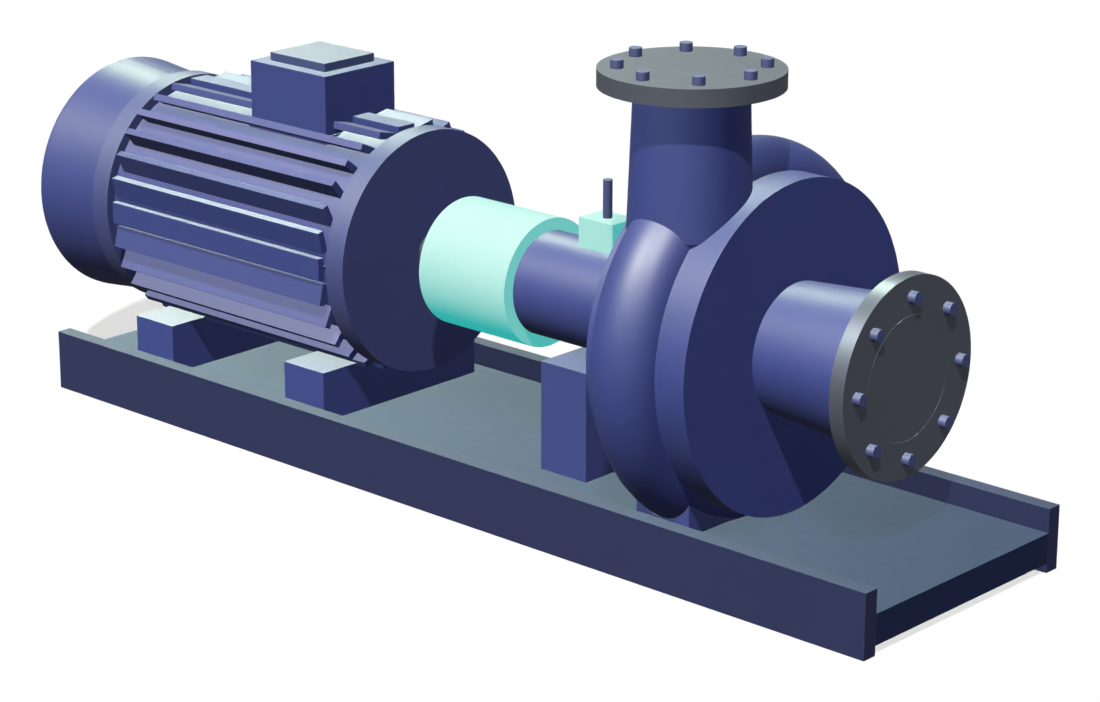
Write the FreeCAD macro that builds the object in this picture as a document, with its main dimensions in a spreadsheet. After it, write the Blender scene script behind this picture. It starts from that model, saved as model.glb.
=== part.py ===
import FreeCAD, Part
import math
import os

import Sketcher

# Skid-mounted centrifugal pump set
# X runs along the shaft from the motor towards the suction flange, Z is up.
# The origin is on the floor, under the middle of the set's overall length.

SIZES = {
    # Skid
    "skid_tail": 174.4,
    "skid_width": 442.5,
    "rail_height": 95.4,
    "rail_thick": 24.4,
    "deck_top": 59.7,
    "deck_lip": 45.3,
    "deck_plate": 10.0,
    "stiffener_wide": 60.0,
    "stiffener_deep": 20.0,
    "deck_opening_gap": 3.0,
    # Shaft line
    "shaft_height": 310.0,
    "motor_shaft_dia": 55.0,
    "pump_shaft_dia": 48.0,
    "running_gap": 0.3,
    # Stations along the shaft, each measured from the one before, pump end first
    "suction_setback": 105.9,
    "suction_flange_thick": 23.5,
    "suction_nozzle_length": 168.0,
    "casing_front_reach": 105.3,
    "casing_back_reach": 68.9,
    "housing_length": 303.5,
    "guard_front_lap": 14.7,
    "guard_length": 173.8,
    "guard_to_motor": 70.2,
    "shield_thick": 36.0,
    "frame_length": 503.0,
    "cowl_length": 125.4,
    # Motor
    "body_radius": 172.5,
    "fin_wide": 33.6,
    "fin_thick": 10.8,
    "fin_stand": 5.3,
    "fin_root_wide": 6.0,
    "fin_root_bite": 0.8,
    "fin_setback": 15.0,
    "fin_count": 28,
    "shield_lip": 15.4,
    "cowl_inset": 9.1,
    "cowl_flare": 12.7,
    "cowl_wall": 4.0,
    "foot_wide": 86.5,
    "foot_inset": 31.85,
    "foot_hug": 0.3,
    "foot_setback": 77.8,
    "box_length": 166.0,
    "box_width": 147.2,
    "box_height": 104.9,
    "box_sink": 17.7,
    "box_pad_rim": 3.0,
    "box_setback": 197.8,
    "lid_margin_long": 22.3,
    "lid_margin_wide": 21.2,
    "lid_thick": 13.1,
    # Cooling fan and the slots of the grille over it
    "fan_setback": 20.0,
    "fan_disc": 6.0,
    "fan_rim_gap": 46.0,
    "fan_hub_wall": 16.0,
    "fan_hub_length": 62.0,
    "fan_blade_deep": 48.0,
    "fan_blade_thick": 6.0,
    "fan_blade_count": 9,
    "slot_wide": 12.0,
    "slot_ring_start": 44.0,
    "slot_inner_length": 42.0,
    "slot_ring_gap": 14.0,
    "slot_outer_length": 50.0,
    "slot_count": 12,
    # Coupling and guard
    "guard_radius": 97.6,
    "guard_wall": 4.0,
    "hub_radius": 62.0,
    "motor_hub_length": 58.0,
    "pump_hub_length": 50.0,
    "insert_thick": 14.0,
    "hub_setback": 14.0,
    # Pump
    "housing_radius": 78.4,
    "pedestal_length": 88.0,
    "pedestal_width": 182.0,
    "pedestal_drop": 6.3,
    "pedestal_setback": 177.2,
    "saddle_length": 44.0,
    "saddle_width": 64.0,
    "saddle_inset": 8.0,
    "oiler_length": 65.5,
    "oiler_width": 51.2,
    "oiler_shift": 2.0,
    "oiler_rise": 41.9,
    "stem_dia": 13.9,
    "stem_length": 56.9,
    "drum_over": 17.7,
    "volute_radius": 222.6,
    "volute_tube": 57.6,
    "seam_margin": 1.0,
    "casing_foot_length": 95.6,
    "casing_foot_inset": 40.9,
    "casing_foot_rise": 60.0,
    "suction_root_radius": 95.9,
    "suction_end_radius": 108.9,
    "suction_flange_edge": 28.5,
    "suction_bolt_circle": 229.2,
    "discharge_offset": 107.2,
    "discharge_rise": 398.2,
    "discharge_flange_thick": 25.2,
    "discharge_flange_edge": 27.6,
    "discharge_bolt_circle": 202.2,
    "discharge_top_radius": 79.5,
    "discharge_low_radius": 86.8,
    "discharge_taper_rise": 176.0,
    "discharge_root_rise": 90.0,
    "blank_thick": 9.0,
    "blank_margin": 26.0,
    "stud_dia": 18.2,
    "stud_out": 12.0,
    "stud_in": 15.0,
    "stud_shoulder": 0.8,
    "stud_count": 8,
}


class Size:
    """A length known both as a number and as the expression that gives it."""

    def __init__(self, value, text):
        self.value = value
        self.text = text

    @staticmethod
    def of(other):
        if isinstance(other, Size):
            return other
        return Size(float(other), "(%s)" % repr(float(other)))

    def __add__(self, other):
        other = Size.of(other)
        return Size(self.value + other.value, "(%s + %s)" % (self.text, other.text))

    def __radd__(self, other):
        return Size.of(other) + self

    def __sub__(self, other):
        other = Size.of(other)
        return Size(self.value - other.value, "(%s - %s)" % (self.text, other.text))

    def __rsub__(self, other):
        return Size.of(other) - self

    def __mul__(self, other):
        other = Size.of(other)
        return Size(self.value * other.value, "(%s * %s)" % (self.text, other.text))

    def __rmul__(self, other):
        return Size.of(other) * self

    def __truediv__(self, other):
        other = Size.of(other)
        return Size(self.value / other.value, "(%s / %s)" % (self.text, other.text))

    def __neg__(self):
        return Size(-self.value, "(0 - %s)" % self.text)


doc = FreeCAD.newDocument("PumpSet")
sheet = doc.addObject("Spreadsheet::Sheet", "Sizes")
for row, (name, value) in enumerate(SIZES.items(), start=1):
    sheet.set("A%d" % row, name)
    sheet.set("B%d" % row, str(value))
    sheet.setAlias("B%d" % row, name)
doc.recompute()


def cell(name):
    return Size(float(sheet.get(name)), "Sizes." + name)


PARTS = []


def keep(piece, label):
    """Gives a finished piece the name of its file."""
    piece.Label = label
    PARTS.append(piece)
    return piece


# Shapes made from primitives

def bind(piece, **sizes):
    for key, size in sizes.items():
        size = Size.of(size)
        setattr(piece, key, size.value)
        piece.setExpression(key, size.text)


def place(piece, x, y, z, rotation=None):
    x, y, z = Size.of(x), Size.of(y), Size.of(z)
    turn = rotation or FreeCAD.Rotation()
    piece.Placement = FreeCAD.Placement(FreeCAD.Vector(x.value, y.value, z.value), turn)
    for axis, size in (("x", x), ("y", y), ("z", z)):
        piece.setExpression("Placement.Base." + axis, size.text)


ALONG_X = FreeCAD.Rotation(FreeCAD.Vector(0, 1, 0), 90)


def box(name, corner, extent):
    piece = doc.addObject("Part::Box", name)
    bind(piece, Length=extent[0], Width=extent[1], Height=extent[2])
    place(piece, *corner)
    return piece


def cylinder_x(name, x, y, z, radius, length):
    piece = doc.addObject("Part::Cylinder", name)
    bind(piece, Radius=radius, Height=length)
    place(piece, x, y, z, ALONG_X)
    return piece


def cylinder_z(name, x, y, z, radius, length):
    piece = doc.addObject("Part::Cylinder", name)
    bind(piece, Radius=radius, Height=length)
    place(piece, x, y, z)
    return piece


def torus_x(name, x, y, z, ring, tube):
    piece = doc.addObject("Part::Torus", name)
    bind(piece, Radius1=ring, Radius2=tube)
    place(piece, x, y, z, ALONG_X)
    return piece


def cut(name, base, tool):
    piece = doc.addObject("Part::Cut", name)
    piece.Base = base
    piece.Tool = tool
    return piece


def fuse(name, shapes):
    piece = doc.addObject("Part::MultiFuse", name)
    piece.Shapes = shapes
    return piece


def group(name, shapes):
    piece = doc.addObject("Part::Compound", name)
    piece.Links = shapes
    return piece


# Shapes made from sketches

def outline(body, name, role, points):
    """Closed outline on one of the body's own planes, each corner bound to its two sizes."""
    sketch = body.newObject("Sketcher::SketchObject", name)
    plane = [item for item in body.Origin.OriginFeatures if item.Role == role][0]
    sketch.AttachmentSupport = [(plane, "")]
    sketch.MapMode = "FlatFace"
    corners = [(Size.of(u), Size.of(v)) for u, v in points]
    count = len(corners)
    for index in range(count):
        start = corners[index]
        end = corners[(index + 1) % count]
        first = FreeCAD.Vector(start[0].value, start[1].value, 0)
        second = FreeCAD.Vector(end[0].value, end[1].value, 0)
        sketch.addGeometry(Part.LineSegment(first, second), False)
    for index in range(count):
        follower = (index + 1) % count
        sketch.addConstraint(Sketcher.Constraint("Coincident", index, 2, follower, 1))
    for index, corner in enumerate(corners):
        for kind, size in (("DistanceX", corner[0]), ("DistanceY", corner[1])):
            number = sketch.addConstraint(Sketcher.Constraint(kind, -1, 1, index, 1, size.value))
            sketch.setExpression("Constraints[%d]" % number, size.text)
    return sketch


def turned(name, x, z, points, y=0.0, upright=False):
    """Solid of revolution: points are (along the axis, out from it) in the body's own frame."""
    body = doc.addObject("PartDesign::Body", name)
    if upright:
        points = [(out, along) for along, out in points]
    sketch = outline(body, name + "Profile", "XZ_Plane", points)
    turn = body.newObject("PartDesign::Revolution", name + "Turn")
    turn.Profile = sketch
    turn.ReferenceAxis = (sketch, ["V_Axis" if upright else "H_Axis"])
    turn.Angle = 360.0
    body.Tip = turn
    place(body, x, y, z)
    return body


def ring_profile(length, inner, outer):
    return [(0, inner), (length, inner), (length, outer), (0, outer)]


def raised(name, x, y, z, role, points, height):
    """Solid of a straight outline, its middle plane on the body's own plane."""
    body = doc.addObject("PartDesign::Body", name)
    sketch = outline(body, name + "Profile", role, points)
    pad = body.newObject("PartDesign::Pad", name + "Pad")
    pad.Profile = sketch
    pad.Midplane = True
    bind(pad, Length=height)
    body.Tip = pad
    place(body, x, y, z)
    return body


# Stations along the shaft
axis_z = cell("shaft_height")
chain = [
    "suction_setback",
    "suction_flange_thick",
    "suction_nozzle_length",
    "casing_front_reach",
    "casing_back_reach",
    "housing_length",
]
reach = Size(0.0, "0")
stations = []
for step in chain:
    reach = reach + cell(step)
    stations.append(reach)
guard_front_at = reach - cell("guard_front_lap")
guard_back_at = guard_front_at + cell("guard_length")
motor_front_at = guard_back_at + cell("guard_to_motor")
frame_front_at = motor_front_at + cell("shield_thick")
frame_back_at = frame_front_at + cell("frame_length")
cowl_front_at = frame_back_at + cell("shield_thick")
overall = cowl_front_at + cell("cowl_length")

pump_end = overall / 2
suction_face_x = pump_end - stations[0]
suction_back_x = pump_end - stations[1]
cover_face_x = pump_end - stations[2]
volute_x = pump_end - stations[3]
drum_back_x = pump_end - stations[4]
nose_x = pump_end - stations[5]
guard_front_x = pump_end - guard_front_at
guard_back_x = pump_end - guard_back_at
motor_front_x = pump_end - motor_front_at
frame_front_x = pump_end - frame_front_at
frame_back_x = pump_end - frame_back_at
cowl_front_x = pump_end - cowl_front_at
cowl_back_x = pump_end - overall
foot_fan_x = frame_back_x + cell("foot_setback")
foot_drive_x = frame_front_x - cell("foot_setback")
pedestal_x = drum_back_x - cell("pedestal_setback")
skid_start_x = foot_fan_x - cell("skid_tail")

gap = cell("running_gap")

# Skid
rail_thick = cell("rail_thick")
half_width = cell("skid_width") / 2
inner_half = half_width - rail_thick
deck_top = cell("deck_top")
skid_length = pump_end - skid_start_x
rail_extent = (skid_length, rail_thick, cell("rail_height"))
keep(box("RailNear", (skid_start_x, -half_width, 0), rail_extent), "skid_rail_near")
keep(box("RailFar", (skid_start_x, inner_half, 0), rail_extent), "skid_rail_far")

# Where the volute dips below the deck, the deck is open
tube = cell("volute_tube")
ring = cell("volute_radius")
plate = cell("deck_plate")
lip = cell("deck_lip")
tray = raised(
    "Tray",
    skid_start_x,
    0,
    deck_top - lip,
    "XZ_Plane",
    [
        (0, 0),
        (plate, 0),
        (plate, lip - plate),
        (skid_length - plate, lip - plate),
        (skid_length - plate, 0),
        (skid_length, 0),
        (skid_length, lip),
        (0, lip),
    ],
    inner_half * 2,
)
opening = torus_x("TrayOpening", volute_x, 0, axis_z, ring, tube + cell("deck_opening_gap"))
keep(cut("DeckTray", tray, opening), "deck_tray")

stiffener = cell("stiffener_wide")
stiffener_deep = cell("stiffener_deep")
stiffeners = []
for number, middle_x in enumerate((foot_fan_x, foot_drive_x, pedestal_x), start=1):
    corner = (middle_x - stiffener / 2, -inner_half, deck_top - plate - stiffener_deep)
    stiffeners.append(box("Stiffener%d" % number, corner, (stiffener, inner_half * 2, stiffener_deep)))
keep(group("Stiffeners", stiffeners), "deck_stiffeners")

def spoke(name, number, count, start_x, inner, length, wide, deep):
    """Bar lying along a radius, its near end at the inner radius."""
    angle = math.radians(90 + 360.0 * number / count)
    side_y = math.sin(angle) * wide / 2
    side_z = -math.cos(angle) * wide / 2
    bar = doc.addObject("Part::Box", name)
    bind(bar, Length=deep, Width=length, Height=wide)
    turn = FreeCAD.Rotation(FreeCAD.Vector(1, 0, 0), math.degrees(angle))
    corner_y = math.cos(angle) * inner + side_y
    corner_z = math.sin(angle) * inner + side_z
    place(bar, start_x, corner_y, axis_z + corner_z, turn)
    return bar


# Motor frame with its ring of fins
# The fins turn against their place on the ring: flat at the top and sides, on edge between.
# Where a fin lies too flat for its inner corner to bite into the body, a root carries it.
body_radius = cell("body_radius")
frame_length = cell("frame_length")
motor_bore = cell("motor_shaft_dia") / 2 + gap
fin_wide = cell("fin_wide")
fin_thick = cell("fin_thick")
fin_ring = body_radius + cell("fin_stand") + fin_thick / 2
fin_setback = cell("fin_setback")
fin_length = frame_length - fin_setback * 2
fin_count = int(cell("fin_count").value)
root_start = body_radius - cell("fin_root_bite")
root_wide = cell("fin_root_wide")
frame_core = cylinder_x("FrameCore", frame_back_x, 0, axis_z, body_radius, frame_length)
ribs = [frame_core]
for number in range(fin_count):
    place_angle = math.radians(90 + 360.0 * number / fin_count)
    lean_angle = math.pi / 2 - place_angle
    lean_cos = math.cos(lean_angle)
    lean_sin = math.sin(lean_angle)
    corner_y = fin_ring * math.cos(place_angle) - fin_wide / 2 * lean_cos + fin_thick / 2 * lean_sin
    corner_z = fin_ring * math.sin(place_angle) - fin_wide / 2 * lean_sin - fin_thick / 2 * lean_cos
    fin = doc.addObject("Part::Box", "Fin%02d" % number)
    bind(fin, Length=fin_length, Width=fin_wide, Height=fin_thick)
    turn = FreeCAD.Rotation(FreeCAD.Vector(1, 0, 0), math.degrees(lean_angle))
    place(fin, frame_back_x + fin_setback, corner_y, axis_z + corner_z, turn)
    ribs.append(fin)
    steep = abs(math.sin(2 * place_angle))
    flat = abs(math.cos(2 * place_angle))
    corner_depth = fin_ring - steep * fin_wide / 2 - flat * fin_thick / 2
    corner_aside = flat * fin_wide / 2 - steep * fin_thick / 2
    if math.hypot(corner_depth.value, corner_aside.value) > root_start.value:
        name = "FinRoot%02d" % number
        start_x = frame_back_x + fin_setback
        length = fin_ring - root_start
        ribs.append(spoke(name, number, fin_count, start_x, root_start, length, root_wide, fin_length))

# The terminal box sits in a pad of the frame, whose rim holds the fins that end beside the box
box_length = cell("box_length")
box_width = cell("box_width")
box_x = frame_front_x - cell("box_setback")
box_pad_rim = gap + cell("box_pad_rim")
box_pad_corner = (box_x - box_length / 2 - box_pad_rim, -(box_width / 2) - box_pad_rim, axis_z)
box_pad_rise = body_radius - fin_thick / 2
box_pad_extent = (box_length + box_pad_rim * 2, box_width + box_pad_rim * 2, box_pad_rise)
ribs.append(box("BoxPad", box_pad_corner, box_pad_extent))
finned = fuse("FinnedFrame", ribs)
box_seat_z = axis_z + body_radius - cell("box_sink")
box_corner = (box_x - box_length / 2 - gap, -(box_width / 2) - gap, box_seat_z)
seat_cutter = box("BoxSeat", box_corner, (box_length + gap * 2, box_width + gap * 2, body_radius))
shaft_way = cylinder_x("FrameBore", frame_back_x - 1, 0, axis_z, motor_bore, frame_length + 2)

# Each motor foot is a bar across the skid, hollowed to carry the frame
foot_wide = cell("foot_wide")
foot_half = inner_half - cell("foot_inset")
foot_rise = axis_z - body_radius + cell("foot_hug") - deck_top


def foot_block(name, middle_x):
    corner = (middle_x - foot_wide / 2, -foot_half, deck_top)
    return box(name, corner, (foot_wide, foot_half * 2, foot_rise))


foot_fan_block = foot_block("FanFootBar", foot_fan_x)
foot_drive_block = foot_block("DriveFootBar", foot_drive_x)
keep(cut("MotorFrame", finned, fuse("FrameRoom", [seat_cutter, shaft_way])), "motor_frame")
keep(cut("FanFoot", foot_fan_block, finned), "motor_foot_fan_end")
keep(cut("DriveFoot", foot_drive_block, finned), "motor_foot_drive_end")

# End shields
shield_radius = body_radius + cell("shield_lip")
shield_thick = cell("shield_thick")
shield_profile = ring_profile(shield_thick, motor_bore, shield_radius)
keep(turned("DriveShield", frame_front_x, axis_z, shield_profile), "drive_end_shield")
keep(turned("FanShield", cowl_front_x, axis_z, shield_profile), "fan_end_shield")

# Fan cowl, a tapered drum over the fan end, closed behind by a slotted grille
cowl_length = cell("cowl_length")
cowl_front = shield_radius - cell("cowl_inset")
cowl_back = cowl_front + cell("cowl_flare")
cowl_wall = cell("cowl_wall")
cowl_depth = cowl_length - cowl_wall
cowl_profile = [
    (0, cowl_back - cowl_wall),
    (0, cowl_back),
    (cowl_depth, cowl_front),
    (cowl_depth, cowl_front - cowl_wall),
]
keep(turned("Cowl", cowl_back_x + cowl_wall, axis_z, cowl_profile), "fan_cowl")


def slot_ring(label, count, offset, inner, length):
    ring_slots = []
    for number in range(count):
        name = "%s%02d" % (label, number)
        start_x = cowl_back_x - cowl_wall
        ring_slots.append(
            spoke(name, number + offset, count, start_x, inner, length, cell("slot_wide"), cowl_wall * 3)
        )
    return ring_slots


slot_count = int(cell("slot_count").value)
slot_start = cell("slot_ring_start")
slot_inner = cell("slot_inner_length")
slot_outer_start = slot_start + slot_inner + cell("slot_ring_gap")
slots = slot_ring("InnerSlot", slot_count, 0, slot_start, slot_inner)
slots += slot_ring("OuterSlot", slot_count * 2, 0.5, slot_outer_start, cell("slot_outer_length"))
grille_disc = cylinder_x("GrilleDisc", cowl_back_x, 0, axis_z, cowl_back, cowl_wall)
keep(cut("Grille", grille_disc, group("GrilleSlots", slots)), "cowl_grille")

# Cooling fan on the end of the motor shaft, its blades towards the grille
fan_front_x = cowl_front_x - cell("fan_setback")
fan_disc = cell("fan_disc")
fan_hub_length = cell("fan_hub_length")
fan_radius = cowl_front - cell("fan_rim_gap")
fan_hub_radius = motor_bore + cell("fan_hub_wall")
fan_hub = turned(
    "FanHub", fan_front_x - fan_hub_length, axis_z, ring_profile(fan_hub_length, motor_bore, fan_hub_radius)
)
fan_plate = turned("FanPlate", fan_front_x - fan_disc, axis_z, ring_profile(fan_disc, motor_bore, fan_radius))
blade_start = fan_hub_radius - 1
blade_count = int(cell("fan_blade_count").value)
blades = []
for number in range(blade_count):
    blades.append(
        spoke(
            "Blade%d" % number,
            number,
            blade_count,
            fan_front_x - cell("fan_blade_deep"),
            blade_start,
            fan_radius - blade_start - fan_disc,
            cell("fan_blade_thick"),
            cell("fan_blade_deep"),
        )
    )
keep(fuse("Fan", [fan_hub, fan_plate] + blades), "cooling_fan")

# Terminal box and lid
terminal_corner = (box_x - box_length / 2, -(box_width / 2), box_seat_z)
box_height = cell("box_height")
terminal_extent = (box_length, box_width, box_height)
keep(box("TerminalBox", terminal_corner, terminal_extent), "terminal_box")
lid_length = box_length - cell("lid_margin_long") * 2
lid_width = box_width - cell("lid_margin_wide") * 2
lid_corner = (box_x - lid_length / 2, -(lid_width / 2), box_seat_z + box_height)
keep(box("TerminalLid", lid_corner, (lid_length, lid_width, cell("lid_thick"))), "terminal_box_lid")

# Shafts, coupling and guard
hub_start_x = guard_back_x + cell("hub_setback")
motor_hub_end_x = hub_start_x + cell("motor_hub_length")
insert_end_x = motor_hub_end_x + cell("insert_thick")
pump_hub_end_x = insert_end_x + cell("pump_hub_length")
motor_shaft_start_x = fan_front_x - fan_hub_length
motor_shaft_radius = cell("motor_shaft_dia") / 2
pump_shaft_radius = cell("pump_shaft_dia") / 2
motor_shaft_length = motor_hub_end_x - motor_shaft_start_x
motor_shaft = cylinder_x(
    "MotorShaft", motor_shaft_start_x, 0, axis_z, motor_shaft_radius, motor_shaft_length
)
keep(motor_shaft, "motor_shaft")
pump_shaft_length = drum_back_x - insert_end_x
pump_shaft = cylinder_x("PumpShaft", insert_end_x, 0, axis_z, pump_shaft_radius, pump_shaft_length)
keep(pump_shaft, "pump_shaft")
hub_radius = cell("hub_radius")
motor_hub_profile = ring_profile(cell("motor_hub_length"), motor_bore, hub_radius)
keep(turned("MotorHub", hub_start_x, axis_z, motor_hub_profile), "motor_coupling_hub")
pump_bore = pump_shaft_radius + gap
pump_hub_profile = ring_profile(cell("pump_hub_length"), pump_bore, hub_radius)
keep(turned("PumpHub", insert_end_x, axis_z, pump_hub_profile), "pump_coupling_hub")
insert = cylinder_x("Insert", motor_hub_end_x, 0, axis_z, hub_radius, cell("insert_thick"))
keep(insert, "coupling_insert")

housing_radius = cell("housing_radius")
guard_radius = cell("guard_radius")
guard_wall = cell("guard_wall")
guard_length = cell("guard_length")
guard_profile = [
    (0, guard_radius - guard_wall),
    (guard_length - guard_wall, guard_radius - guard_wall),
    (guard_length - guard_wall, housing_radius + gap),
    (guard_length, housing_radius + gap),
    (guard_length, guard_radius),
    (0, guard_radius),
]
keep(turned("Guard", guard_back_x, axis_z, guard_profile), "coupling_guard")

# Bearing housing with its pedestal and oiler
housing_length = cell("housing_length")
housing = turned("Housing", nose_x, axis_z, ring_profile(housing_length, pump_bore, housing_radius))
keep(housing, "bearing_housing")

housing_solid = cylinder_x("HousingRoom", nose_x, 0, axis_z, housing_radius + gap, housing_length)
pedestal_length = cell("pedestal_length")
pedestal_width = cell("pedestal_width")
pedestal_top = axis_z - housing_radius - cell("pedestal_drop")
pedestal_block = box(
    "PedestalBlock",
    (pedestal_x - pedestal_length / 2, -(pedestal_width / 2), deck_top),
    (pedestal_length, pedestal_width, pedestal_top - deck_top),
)
saddle_length = cell("saddle_length")
saddle_width = cell("saddle_width")
saddle_end_x = pedestal_x + pedestal_length / 2 - cell("saddle_inset")
saddle = box(
    "PedestalSaddle",
    (saddle_end_x - saddle_length, -(saddle_width / 2), deck_top),
    (saddle_length, saddle_width, axis_z - deck_top),
)
pedestal = cut("Pedestal", fuse("PedestalRaw", [pedestal_block, saddle]), housing_solid)
keep(pedestal, "bearing_pedestal")

oiler_length = cell("oiler_length")
oiler_width = cell("oiler_width")
oiler_shift = cell("oiler_shift")
oiler_top = axis_z + housing_radius + cell("oiler_rise")
oiler_block = box(
    "OilerBlock",
    (pedestal_x - oiler_length / 2, oiler_shift - oiler_width / 2, axis_z),
    (oiler_length, oiler_width, oiler_top - axis_z),
)
keep(cut("Oiler", oiler_block, housing_solid), "oiler_block")
stem = cylinder_z("Stem", pedestal_x, oiler_shift, oiler_top, cell("stem_dia") / 2, cell("stem_length"))
keep(stem, "oiler_stem")

# Pump casing
# The covers meet the casing just clear of the volute tube, either side of its middle.
drum_radius = ring + cell("drum_over")
rim_half = tube + cell("seam_margin")
rim_front_x = volute_x + rim_half
rim_back_x = volute_x - rim_half

volute = torus_x("VoluteTube", volute_x, 0, axis_z, ring, tube)
drum = cylinder_x("VoluteDrum", rim_back_x, 0, axis_z, drum_radius, rim_half * 2)
discharge_y = -cell("discharge_offset")
discharge_face = axis_z + cell("discharge_rise")
discharge_under = discharge_face - cell("discharge_flange_thick")
root_height = axis_z + cell("discharge_root_rise")
taper_height = axis_z + cell("discharge_taper_rise")
discharge_top_radius = cell("discharge_top_radius")
discharge_cone = turned(
    "DischargeCone",
    volute_x,
    root_height,
    [
        (0, 0),
        (discharge_under - root_height, 0),
        (discharge_under - root_height, discharge_top_radius),
        (taper_height - root_height, cell("discharge_low_radius")),
        (0, tube),
    ],
    y=discharge_y,
    upright=True,
)
casing = fuse("VoluteRaw", [volute, drum, discharge_cone])

# Back cover behind the volute, suction cover and its tapered nozzle in front
back_profile = ring_profile(rim_back_x - drum_back_x, pump_bore, drum_radius)
back_cover_raw = turned("BackCoverDisc", drum_back_x, axis_z, back_profile)
suction_root = cell("suction_root_radius")
nozzle_length = cell("suction_nozzle_length")
cover_thick = cover_face_x - rim_front_x
suction_cover_raw = turned(
    "SuctionCoverDisc",
    rim_front_x,
    axis_z,
    [
        (0, 0),
        (0, drum_radius),
        (cover_thick, drum_radius),
        (cover_thick, suction_root),
        (cover_thick + nozzle_length, cell("suction_end_radius")),
        (cover_thick + nozzle_length, 0),
    ],
)
keep(casing, "volute_casing")
keep(cut("BackCover", back_cover_raw, discharge_cone), "casing_back_cover")
keep(cut("SuctionCover", suction_cover_raw, discharge_cone), "suction_cover")

# Casing feet, hollowed to the volute
casing_foot_length = cell("casing_foot_length")
casing_foot_half = inner_half - cell("casing_foot_inset")
casing_foot_block = box(
    "CasingFootBlock",
    (volute_x - casing_foot_length / 2, -casing_foot_half, deck_top),
    (casing_foot_length, casing_foot_half * 2, cell("casing_foot_rise")),
)
volute_room = torus_x("VoluteRoom", volute_x, 0, axis_z, ring, tube + gap)
keep(cut("CasingFeet", casing_foot_block, volute_room), "casing_feet")

# Flanges, blank plates and studs
stud_radius = cell("stud_dia") / 2
shank_radius = stud_radius - cell("stud_shoulder")
stud_out = cell("stud_out")
stud_in = cell("stud_in")
stud_count = int(cell("stud_count").value)
blank_thick = cell("blank_thick")


def circle_points(count, radius):
    points = []
    for number in range(count):
        angle = 2 * math.pi * number / count
        points.append((radius * math.cos(angle), radius * math.sin(angle)))
    return points


def flange_set(side, thick, edge, bolt_circle, put):
    """Flange with a flush blank plate and a ring of studs; put(name, u, v, w, radius, length)."""
    radius = bolt_circle / 2 + edge
    blank_radius = bolt_circle / 2 - cell("blank_margin")
    disc = put(side + "FlangeDisc", 0, 0, 0, radius, thick)
    recess = put(side + "Recess", 0, 0, thick - blank_thick, blank_radius + gap, blank_thick * 2)
    spots = circle_points(stud_count, bolt_circle / 2)
    holes = []
    studs = []
    for number, (u, v) in enumerate(spots):
        name = "%s%d" % (side, number)
        holes.append(put(name + "Hole", u, v, thick - stud_in, shank_radius + gap, stud_in * 2))
        shank = put(name + "Shank", u, v, thick - stud_in, shank_radius, stud_in)
        end = put(name + "StudEnd", u, v, thick, stud_radius, stud_out)
        studs.append(fuse(name + "Stud", [shank, end]))
    flange = cut(side + "Flange", disc, fuse(side + "FlangeCuts", [recess] + holes))
    keep(flange, side.lower() + "_flange")
    blank = put(side + "Blank", 0, 0, thick - blank_thick, blank_radius, blank_thick)
    keep(blank, side.lower() + "_blank_plate")
    keep(group(side + "Studs", studs), side.lower() + "_studs")


def on_suction(name, u, v, w, radius, length):
    return cylinder_x(name, suction_back_x + w, u, axis_z + v, radius, length)


def on_discharge(name, u, v, w, radius, length):
    return cylinder_z(name, volute_x + u, discharge_y + v, discharge_under + w, radius, length)


flange_set(
    "Suction",
    cell("suction_flange_thick"),
    cell("suction_flange_edge"),
    cell("suction_bolt_circle"),
    on_suction,
)
flange_set(
    "Discharge",
    cell("discharge_flange_thick"),
    cell("discharge_flange_edge"),
    cell("discharge_bolt_circle"),
    on_discharge,
)

doc.recompute()
for item in doc.Objects:
    state = " ".join(item.State)
    if "Invalid" in state or "Error" in state:
        raise RuntimeError("%s failed: %s" % (item.Name, state))
for piece in PARTS:
    if piece.Shape.isNull() or not piece.Shape.isValid():
        raise RuntimeError("%s has no valid shape" % piece.Label)

os.makedirs("parts", exist_ok=True)
for piece in PARTS:
    piece.Shape.exportStep(os.path.join("parts", piece.Label + ".step"))
    print("%-24s solids %d volume %.0f" % (piece.Label, len(piece.Shape.Solids), piece.Shape.Volume))
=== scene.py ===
import math

import bpy
from mathutils import Matrix, Vector

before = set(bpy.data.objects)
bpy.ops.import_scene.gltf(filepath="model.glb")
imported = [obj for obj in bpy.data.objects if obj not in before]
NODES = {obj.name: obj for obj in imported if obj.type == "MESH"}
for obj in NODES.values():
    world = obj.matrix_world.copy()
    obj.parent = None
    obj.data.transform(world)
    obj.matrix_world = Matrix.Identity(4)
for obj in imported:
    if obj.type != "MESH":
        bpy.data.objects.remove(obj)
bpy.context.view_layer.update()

# ---------------------------------------------------------------- camera
# The photograph is 1100 pixels wide. The lens and the pose were solved from the skid's corners
# and the flanges' rims.
IMAGE_WIDE = 1100.0
FOCAL_PIXELS = 3194.04
SENSOR_WIDE = 36.0
EYE = Vector((3.143874, -3.314897, 1.667739))
RIGHT = Vector((0.735448, 0.677579, 0.001690))
UP = Vector((-0.210523, 0.226132, 0.951075))
NEAREST, FARTHEST = 0.1, 200.0


def make_camera():
    back = RIGHT.cross(UP).normalized()
    data = bpy.data.cameras.new("photo_camera")
    data.sensor_width = SENSOR_WIDE
    data.lens = FOCAL_PIXELS / IMAGE_WIDE * SENSOR_WIDE
    data.clip_start, data.clip_end = NEAREST, FARTHEST
    camera = bpy.data.objects.new("photo_camera", data)
    bpy.context.scene.collection.objects.link(camera)
    turn = Matrix((RIGHT, UP, back)).transposed()
    camera.matrix_world = Matrix.Translation(EYE) @ turn.to_4x4()
    bpy.context.scene.camera = camera


# ---------------------------------------------------------------- shader nodes
# Nearly all of a noise pattern lies between these two values
NOISE_LOW, NOISE_HIGH = 0.3, 0.7


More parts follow.
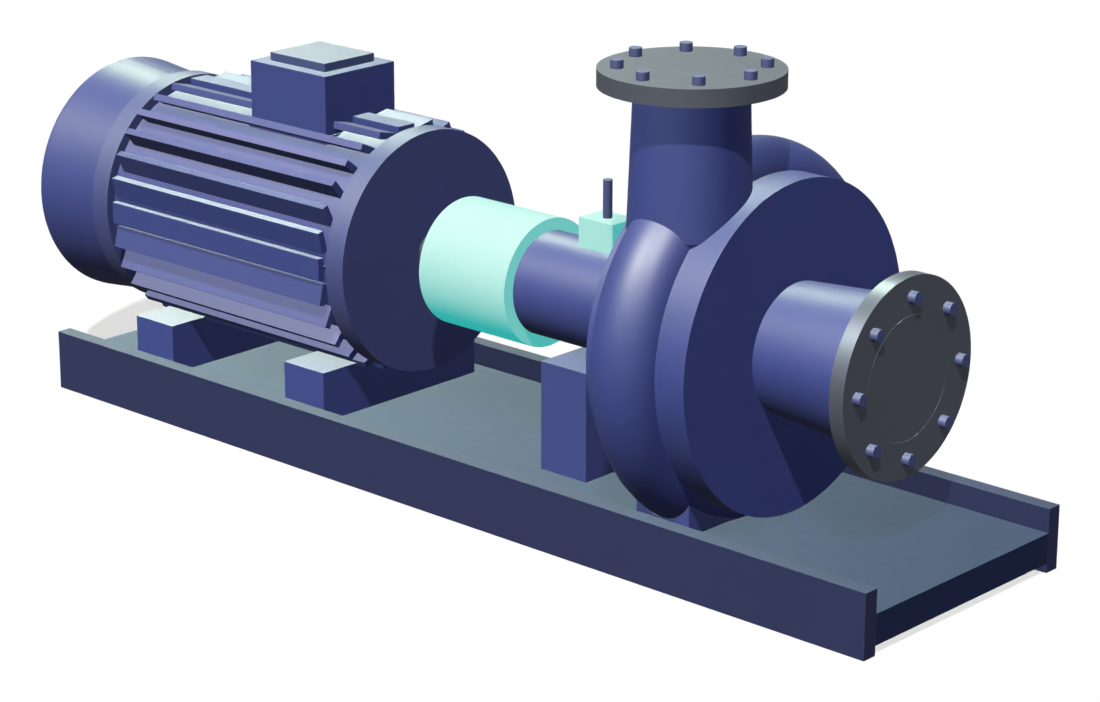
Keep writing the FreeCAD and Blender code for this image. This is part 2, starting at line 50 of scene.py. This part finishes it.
def add_node(tree, kind, inputs=None, **settings):
    """New shader node, its inputs linked to other nodes' outputs or given a number or colour."""
    made = tree.nodes.new("ShaderNode" + kind)
    for name, value in settings.items():
        setattr(made, name, value)
    for socket, value in (inputs or {}).items():
        if isinstance(value, bpy.types.NodeSocket):
            tree.links.new(value, made.inputs[socket])
        elif isinstance(value, tuple):
            made.inputs[socket].default_value = (*value, 1.0)
        else:
            made.inputs[socket].default_value = value
    return made


def maths(tree, operation, a, b):
    return add_node(tree, "Math", {0: a, 1: b}, operation=operation).outputs[0]


def noise(tree, place, scale, detail, rough):
    inputs = {"Scale": scale, "Detail": detail, "Roughness": rough, "Vector": place}
    return add_node(tree, "TexNoise", inputs).outputs["Fac"]


def spread(tree, value, from_low, from_high, low, high):
    """Map a value from one range to another, and hold it at both ends."""
    inputs = {
        "Value": value,
        "From Min": from_low,
        "From Max": from_high,
        "To Min": low,
        "To Max": high,
    }
    return add_node(tree, "MapRange", inputs).outputs["Result"]


def blend_colour(tree, share, a, b):
    return add_node(tree, "Mix", {0: share, 6: a, 7: b}, data_type="RGBA").outputs[2]


def empty_tree(owner):
    owner.use_nodes = True
    owner.node_tree.nodes.clear()
    return owner.node_tree


# ---------------------------------------------------------------- lamps, world and floor
# Each lamp has a card, a second sun in the same place that shows in gloss alone.
# Sizes are in degrees.
LAMPS = {
    "front_right": dict(
        towards=(0.357, -0.496, 0.793),
        strength=1.29,
        card=7.10,
        size=1.5,
        shadow=True,
        colour=(1.0, 1.0, 1.0),
    ),
    "front_left": dict(
        towards=(-0.184, -0.647, 0.740),
        strength=2.08,
        card=7.75,
        size=2.0,
        shadow=False,
        colour=(0.96, 1.0, 0.865),
    ),
    "back_left": dict(
        towards=(-0.681, 0.486, 0.549),
        strength=0.150,
        card=1.80,
        size=1.0,
        shadow=False,
        colour=(0.82, 1.0, 0.71),
    ),
}
SKY_COLOUR = (0.93, 0.97, 1.0)
SKY_TOP = 0.40
WHITE = (1.0, 1.0, 1.0)
WHITE_IN_GLOSS = 0.04
FLOOR_HALF = 30.0
FLOOR_PAINT = (0.915, 0.872, 0.935)
FLOOR_BOUNCE = (0.042, 0.042, 0.042)


def add_sun(name, lamp, strength):
    data = bpy.data.lights.new(name, "SUN")
    data.energy = strength
    data.angle = math.radians(lamp["size"])
    data.use_shadow = lamp["shadow"]
    data.color = lamp["colour"]
    sun = bpy.data.objects.new(name, data)
    sun.rotation_mode = "QUATERNION"
    sun.rotation_quaternion = (-Vector(lamp["towards"])).to_track_quat("-Z", "Y")
    bpy.context.scene.collection.objects.link(sun)
    return sun


def make_lamps():
    for name, lamp in LAMPS.items():
        add_sun("lamp_" + name, lamp, lamp["strength"])
        card = add_sun("card_" + name, lamp, lamp["card"])
        card.visible_diffuse = False


def seen_share(tree):
    """1 for what the camera sees straight or through glass, and a small share for gloss."""
    path = add_node(tree, "LightPath").outputs
    gloss = maths(tree, "MULTIPLY", path["Is Glossy Ray"], WHITE_IN_GLOSS)
    straight = maths(tree, "MAXIMUM", path["Is Camera Ray"], path["Is Transmission Ray"])
    return maths(tree, "MAXIMUM", straight, gloss)


def make_world():
    """White for the camera, and for the light a soft sky that grows brighter upwards."""
    world = bpy.data.worlds.new("studio")
    bpy.context.scene.world = world
    tree = empty_tree(world)
    place = add_node(tree, "TexCoord").outputs["Generated"]
    height = add_node(tree, "SeparateXYZ", {0: place}).outputs["Z"]
    strength = spread(tree, height, -1.0, 1.0, 0.0, SKY_TOP)
    soft = add_node(tree, "Background", {"Color": SKY_COLOUR, "Strength": strength})
    white = add_node(tree, "Background", {"Color": WHITE, "Strength": 1.0})
    share = seen_share(tree)
    mix = add_node(tree, "MixShader", {0: share, 1: soft.outputs[0], 2: white.outputs[0]})
    add_node(tree, "OutputWorld", {"Surface": mix.outputs[0]})


def make_floor():
    """Pale for the camera, and dark for the light that it throws back at the object."""
    mesh = bpy.data.meshes.new("floor")
    half = FLOOR_HALF
    corners = [(-half, -half, 0), (half, -half, 0), (half, half, 0), (-half, half, 0)]
    mesh.from_pydata(corners, [], [(0, 1, 2, 3)])
    floor = bpy.data.objects.new("floor", mesh)
    bpy.context.scene.collection.objects.link(floor)
    mat = bpy.data.materials.new("floor_white")
    tree = empty_tree(mat)
    dim = add_node(tree, "BsdfDiffuse", {"Color": FLOOR_BOUNCE})
    pale = add_node(tree, "BsdfDiffuse", {"Color": FLOOR_PAINT})
    share = seen_share(tree)
    mix = add_node(tree, "MixShader", {0: share, 1: dim.outputs[0], 2: pale.outputs[0]})
    add_node(tree, "OutputMaterial", {"Surface": mix.outputs[0]})
    mesh.materials.append(mat)


# ---------------------------------------------------------------- finishes
# The colour drifts in wide patches and fine specks, and pales in broken lines along the edges.
# Scales are in noise cells per metre, reaches and depths in metres.
DRIFT = 0.07
DRIFT_SCALE = 5.0
SPECK_SCALE = 70.0
SPECK_SHARE = 0.4
EDGE_REACH = 0.0016
EDGE_SHARE = 0.5
# How far the rounded normal agrees with the flat one: on an open face, and on a sharp edge
OPEN_FACE, SHARP_EDGE = 0.985, 0.86
WEAR_SCALE = 45.0
# The noise below which an edge is whole, and above which it is worn
WEAR_NONE, WEAR_FULL = 0.45, 0.62
BEVEL_SAMPLES = 4
GRAIN_SCALE = 420.0
GRAIN_DEPTH = 0.0004


def rounded_normal(tree, radius):
    return add_node(tree, "Bevel", {"Radius": radius}, samples=BEVEL_SAMPLES).outputs[0]


def edge_wear(tree, place):
    """Near EDGE_SHARE along sharp outer edges, broken up by noise, and 0 on open faces."""
    flat = add_node(tree, "NewGeometry").outputs["Normal"]
    inputs = {0: rounded_normal(tree, EDGE_REACH), 1: flat}
    turn = add_node(tree, "VectorMath", inputs, operation="DOT_PRODUCT").outputs["Value"]
    near = spread(tree, turn, OPEN_FACE, SHARP_EDGE, 0.0, 1.0)
    patches = noise(tree, place, WEAR_SCALE, detail=5.0, rough=0.7)
    broken = spread(tree, patches, WEAR_NONE, WEAR_FULL, 0.0, 1.0)
    return maths(tree, "MULTIPLY", maths(tree, "MULTIPLY", near, broken), EDGE_SHARE)


def varied(tree, pattern, colour, amount):
    """The colour made darker and lighter by an amount, as a noise pattern says."""
    share = spread(tree, pattern, NOISE_LOW, NOISE_HIGH, 0.0, 1.0)
    darker = tuple(channel * (1.0 - amount) for channel in colour)
    lighter = tuple(channel * (1.0 + amount) for channel in colour)
    return blend_colour(tree, share, darker, lighter)


def finish_material(
    name,
    colour,
    edge,
    rough,
    gloss=0.5,
    ior=1.5,
    metal=0.0,
    mottle=0.06,
    grain=0.06,
    rough_drift=0.02,
    edge_round=0.0008,
    sheen=WHITE,
    painted_glow=None,
):
    mat = bpy.data.materials.new(name)
    tree = empty_tree(mat)
    place = add_node(tree, "TexCoord").outputs["Object"]
    wide = noise(tree, place, DRIFT_SCALE, detail=3.0, rough=0.5)
    fine = noise(tree, place, SPECK_SCALE, detail=5.0, rough=0.65)
    patched = varied(tree, wide, colour, DRIFT)
    specked = varied(tree, fine, colour, mottle)
    body = blend_colour(tree, SPECK_SHARE, patched, specked)
    uneven = spread(tree, fine, NOISE_LOW, NOISE_HIGH, rough - rough_drift, rough + rough_drift)
    inputs = {
        "Base Color": blend_colour(tree, edge_wear(tree, place), body, edge),
        "Roughness": uneven,
        "Metallic": metal,
        "IOR": ior,
        "Specular IOR Level": gloss,
        "Specular Tint": sheen,
    }
    # A painted glow: this colour is given off as light by the piece itself, though it is no lamp
    if painted_glow is not None:
        inputs["Emission Color"] = painted_glow
        inputs["Emission Strength"] = 1.0

    height = noise(tree, place, GRAIN_SCALE, detail=3.0, rough=0.6)
    bump = {"Strength": grain, "Distance": GRAIN_DEPTH, "Height": height}
    if edge_round > 0:
        bump["Normal"] = rounded_normal(tree, edge_round)
    inputs["Normal"] = add_node(tree, "Bump", bump).outputs[0]
    skin = add_node(tree, "BsdfPrincipled", inputs)
    add_node(tree, "OutputMaterial", {"Surface": skin.outputs[0]})
    return mat


WORN_BLUE = (0.16, 0.20, 0.40)
FINISHES = {
    "skid_paint": dict(
        colour=(0.025, 0.0185, 0.089),
        edge=(0.10, 0.12, 0.20),
        rough=0.596,
        gloss=0.60,
        sheen=(0.40, 0.66, 1.0),
    ),
    "deck_paint": dict(
        colour=(0.0095, 0.009, 0.051),
        edge=(0.10, 0.13, 0.20),
        rough=0.576,
        gloss=0.79,
        sheen=(0.22, 0.45, 1.0),
    ),
    "frame_paint": dict(
        colour=(0.023, 0.046, 0.272),
        edge=(0.07, 0.10, 0.34),
        rough=0.517,
        gloss=0.86,
        sheen=(0.90, 0.85, 1.0),
    ),
    "cowl_paint": dict(
        colour=(0.0615, 0.079, 0.316),
        edge=(0.10, 0.13, 0.34),
        rough=0.475,
        gloss=0.34,
        sheen=(1.0, 0.96, 0.72),
    ),
    "shield_paint": dict(
        colour=(0.042, 0.0585, 0.254),
        edge=(0.16, 0.20, 0.38),
        rough=0.553,
        gloss=0.79,
        sheen=(0.88, 0.90, 0.96),
    ),
    "lid_paint": dict(
        colour=(0.037, 0.075, 0.249),
        edge=(0.12, 0.15, 0.34),
        rough=0.470,
        gloss=1.0,
        ior=1.56,
        sheen=(0.94, 0.84, 1.0),
    ),
    "foot_paint": dict(
        colour=(0.049, 0.077, 0.346),
        edge=WORN_BLUE,
        rough=0.397,
        gloss=0.93,
        ior=1.53,
        sheen=(1.0, 0.90, 0.93),
    ),
    "pedestal_paint": dict(
        colour=(0.069, 0.087, 0.321),
        edge=WORN_BLUE,
        rough=0.367,
        gloss=0.67,
        sheen=(0.75, 0.95, 1.0),
    ),
    "housing_paint": dict(
        colour=(0.058, 0.0765, 0.327),
        edge=WORN_BLUE,
        grain=0.12,
        rough=0.494,
        gloss=0.426,
        sheen=(1.0, 0.99, 0.90),
    ),
    "pump_paint": dict(
        colour=(0.042, 0.063, 0.313),
        edge=WORN_BLUE,
        grain=0.12,
        rough=0.525,
        gloss=0.497,
        sheen=(1.0, 0.99, 0.92),
    ),
    # Mint paint on the guard and the oiler block, with a teal painted glow that keeps their
    # shaded sides bright though they are no lamp
    "guard_paint": dict(
        colour=(0.51, 0.46, 0.442),
        edge=(0.70, 0.76, 0.74),
        rough=0.89,
        gloss=0.085,
        painted_glow=(0.0, 0.405, 0.378),
    ),
    "flange_steel": dict(
        colour=(0.221, 0.244, 0.314),
        edge=(0.226, 0.249, 0.32),
        metal=0.62,
        rough=0.303,
        rough_drift=0.003,
        gloss=0.39,
        mottle=0.02,
        grain=0.03,
        edge_round=0.0,
    ),
    "stud_steel": dict(
        colour=(0.057, 0.078, 0.261), edge=(0.20, 0.24, 0.42), rough=0.59, gloss=0.60
    ),
    "stem_paint": dict(
        colour=(0.058, 0.085, 0.240), edge=(0.20, 0.24, 0.40), grain=0.12, rough=0.505, gloss=0.53
    ),
    "shaft_steel": dict(
        colour=(0.05, 0.05, 0.06), edge=(0.12, 0.12, 0.13), rough=0.6, gloss=0.3
    ),
    "dark_iron": dict(
        colour=(0.06, 0.06, 0.066), edge=(0.2, 0.2, 0.21), metal=0.3, rough=0.6
    ),
    "black_rubber": dict(
        colour=(0.020, 0.020, 0.022), edge=(0.05, 0.05, 0.055), rough=0.75, gloss=0.4
    ),
    "fan_plastic": dict(
        colour=(0.030, 0.032, 0.036), edge=(0.07, 0.07, 0.08), rough=0.5
    ),
}
WORN_BY = {
    "skid_paint": ("skid_rail_near", "skid_rail_far"),
    "deck_paint": ("deck_tray", "deck_stiffeners"),
    "frame_paint": ("motor_frame", "terminal_box"),
    "cowl_paint": ("fan_cowl", "cowl_grille"),
    "shield_paint": ("drive_end_shield", "fan_end_shield"),
    "lid_paint": ("terminal_box_lid",),
    "foot_paint": ("motor_foot_fan_end", "motor_foot_drive_end"),
    "pedestal_paint": ("bearing_pedestal", "casing_feet"),
    "housing_paint": ("bearing_housing",),
    "stem_paint": ("oiler_stem",),
    "pump_paint": ("volute_casing", "casing_back_cover", "suction_cover"),
    "guard_paint": ("coupling_guard", "oiler_block"),
    "flange_steel": (
        "suction_flange",
        "suction_blank_plate",
        "discharge_flange",
        "discharge_blank_plate",
    ),
    "stud_steel": ("suction_studs", "discharge_studs"),
    "shaft_steel": ("motor_shaft", "pump_shaft"),
    "dark_iron": ("motor_coupling_hub", "pump_coupling_hub"),
    "black_rubber": ("coupling_insert",),
    "fan_plastic": ("cooling_fan",),
}


def dress():
    for finish, pieces in WORN_BY.items():
        mat = finish_material(finish, **FINISHES[finish])
        for name in pieces:
            piece = NODES[name]
            for slot in range(len(piece.data.materials)):
                piece.data.materials[slot] = mat
            # In the photograph no piece throws light on another or mirrors another
            piece.visible_diffuse = False
            piece.visible_glossy = False


make_camera()
make_lamps()
make_world()
make_floor()
dress()
bpy.context.scene.view_settings.view_transform = "Standard"
